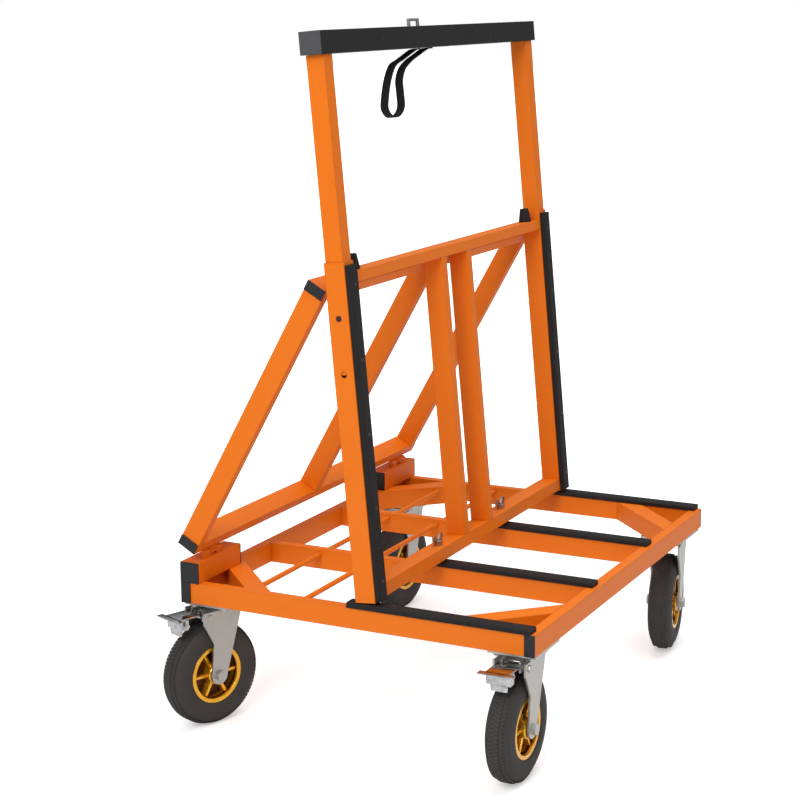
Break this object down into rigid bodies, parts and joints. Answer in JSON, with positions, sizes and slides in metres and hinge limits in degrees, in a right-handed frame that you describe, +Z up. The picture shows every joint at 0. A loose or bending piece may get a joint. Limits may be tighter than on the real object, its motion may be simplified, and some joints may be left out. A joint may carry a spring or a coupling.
{
  "type": "sheet goods cart",
  "caption": "Tube-steel cart for boards and sheets: wheeled base with rubber strips, leaning tilt-back support, height-adjustable top bar with strap, four swivel casters, two braked.",
  "frame": {"origin": "on the floor under the middle of the cart's box, without the strap", "axes": "+X to the end with unbraked casters, +Y to the rear (back frame side), +Z up"},
  "size_m": [0.9892, 0.7544, 1.3282],
  "materials": {
    "orange_paint": "satin powder coat",
    "strip_rubber": "matt black rubber",
    "tyre_rubber": "matt dark grey tyre rubber",
    "hub_gold": "bright gold lacquer",
    "zinc_steel": "satin zinc plate",
    "chrome_steel": "bright chrome plate",
    "bar_black": "matt black coat",
    "strap_webbing": "black woven webbing"
  },
  "bodies": {
    "base": {"front_rail": "orange_paint", "rear_rail": "orange_paint", "left_rail": "orange_paint", "right_rail": "orange_paint", "shelf_frame": "orange_paint", "gusset_front_left": "orange_paint", "gusset_front_right": "orange_paint", "gusset_rear_left": "orange_paint", "gusset_rear_right": "orange_paint", "hinge_stub_left": "orange_paint", "hinge_stub_right": "orange_paint", "deck_strip_left": "strip_rubber", "deck_strip_1": "strip_rubber", "deck_strip_2": "strip_rubber", "deck_strip_right": "strip_rubber", "top_plate_front_left": "zinc_steel", "top_plate_front_right": "zinc_steel", "top_plate_rear_left": "zinc_steel", "top_plate_rear_right": "zinc_steel"},
    "swivel_front_left": {"fork_front_left": "zinc_steel", "axle_front_left": "zinc_steel"},
    "swivel_front_right": {"fork_front_right": "zinc_steel", "axle_front_right": "zinc_steel"},
    "swivel_rear_left": {"fork_rear_left": "zinc_steel", "axle_rear_left": "zinc_steel"},
    "swivel_rear_right": {"fork_rear_right": "zinc_steel", "axle_rear_right": "zinc_steel"},
    "pedal_front_left": {"brake_pedal_front_left": "chrome_steel"},
    "pedal_rear_left": {"brake_pedal_rear_left": "chrome_steel"},
    "wheel_front_left": {"tyre_front_left": "tyre_rubber", "hub_front_left": "hub_gold"},
    "wheel_front_right": {"tyre_front_right": "tyre_rubber", "hub_front_right": "hub_gold"},
    "wheel_rear_left": {"tyre_rear_left": "tyre_rubber", "hub_rear_left": "hub_gold"},
    "wheel_rear_right": {"tyre_rear_right": "tyre_rubber", "hub_rear_right": "hub_gold"},
    "support": {"post_left": "orange_paint", "post_right": "orange_paint", "post_strip_left": "strip_rubber", "post_strip_right": "strip_rubber", "upright_left": "orange_paint", "upright_right": "orange_paint", "buffer_left": "strip_rubber", "buffer_right": "strip_rubber", "lower_crossbar": "orange_paint", "upper_crossbar": "orange_paint", "back_bottom_tube": "orange_paint", "back_top_tube": "orange_paint", "back_diagonal_left": "orange_paint", "back_diagonal_middle": "orange_paint", "back_diagonal_right": "orange_paint"},
    "upper_frame": {"inner_post_left": "orange_paint", "inner_post_right": "orange_paint", "top_bar": "bar_black", "strap_eye": "zinc_steel", "strap": "strap_webbing"},
    "wing_screw_left": {"wing_screw_left": "chrome_steel"},
    "wing_screw_right": {"wing_screw_right": "chrome_steel"}
  },
  "joints": [
    {"name": "front_left_swivel", "type": "hinge", "parent": "base", "child": "swivel_front_left", "pos_m": [-0.36208, -0.32923, 0.228], "axis": [0, 0, 1], "continuous": true},
    {"name": "front_left_roll", "type": "hinge", "parent": "swivel_front_left", "child": "wheel_front_left", "pos_m": [-0.39309, -0.32923, 0.1015], "axis": [0, -1, 0], "continuous": true},
    {"name": "front_left_brake", "type": "hinge", "parent": "swivel_front_left", "child": "pedal_front_left", "pos_m": [-0.41208, -0.32923, 0.22], "axis": [0, -1, 0], "range_deg": [0, 12]},
    {"name": "front_right_swivel", "type": "hinge", "parent": "base", "child": "swivel_front_right", "pos_m": [0.42391, -0.32923, 0.228], "axis": [0, 0, 1], "continuous": true},
    {"name": "front_right_roll", "type": "hinge", "parent": "swivel_front_right", "child": "wheel_front_right", "pos_m": [0.3933, -0.33408, 0.1015], "axis": [0.1564, -0.9877, 0], "continuous": true},
    {"name": "rear_left_swivel", "type": "hinge", "parent": "base", "child": "swivel_rear_left", "pos_m": [-0.36208, 0.30277, 0.228], "axis": [0, 0, 1], "continuous": true},
    {"name": "rear_left_roll", "type": "hinge", "parent": "swivel_rear_left", "child": "wheel_rear_left", "pos_m": [-0.39103, 0.31388, 0.1015], "axis": [-0.3584, -0.9336, 0], "continuous": true},
    {"name": "rear_left_brake", "type": "hinge", "parent": "swivel_rear_left", "child": "pedal_rear_left", "pos_m": [-0.40876, 0.32069, 0.22], "axis": [-0.3584, -0.9336, 0], "range_deg": [0, 12]},
    {"name": "rear_right_swivel", "type": "hinge", "parent": "base", "child": "swivel_rear_right", "pos_m": [0.42391, 0.30277, 0.228], "axis": [0, 0, 1], "continuous": true},
    {"name": "rear_right_roll", "type": "hinge", "parent": "swivel_rear_right", "child": "wheel_rear_right", "pos_m": [0.39296, 0.3044, 0.1015], "axis": [-0.0523, -0.9986, 0], "continuous": true},
    {"name": "support_tilt", "type": "hinge", "parent": "base", "child": "support", "pos_m": [0.03092, 0.32277, 0.3353], "axis": [-1, 0, 0], "range_deg": [0, 50]},
    {"name": "wing_screw_left_turn", "type": "hinge", "parent": "support", "child": "wing_screw_left", "pos_m": [-0.11742, -0.04267, 0.32579], "axis": [0, 0.0872, 0.9962], "continuous": true},
    {"name": "wing_screw_right_turn", "type": "hinge", "parent": "support", "child": "wing_screw_right", "pos_m": [0.17925, -0.04267, 0.32579], "axis": [0, 0.0872, 0.9962], "continuous": true},
    {"name": "upper_frame_slide", "type": "slide", "parent": "support", "child": "upper_frame", "axis": [0, 0.0872, 0.9962], "range_m": [-0.25, 0]}
  ]
}
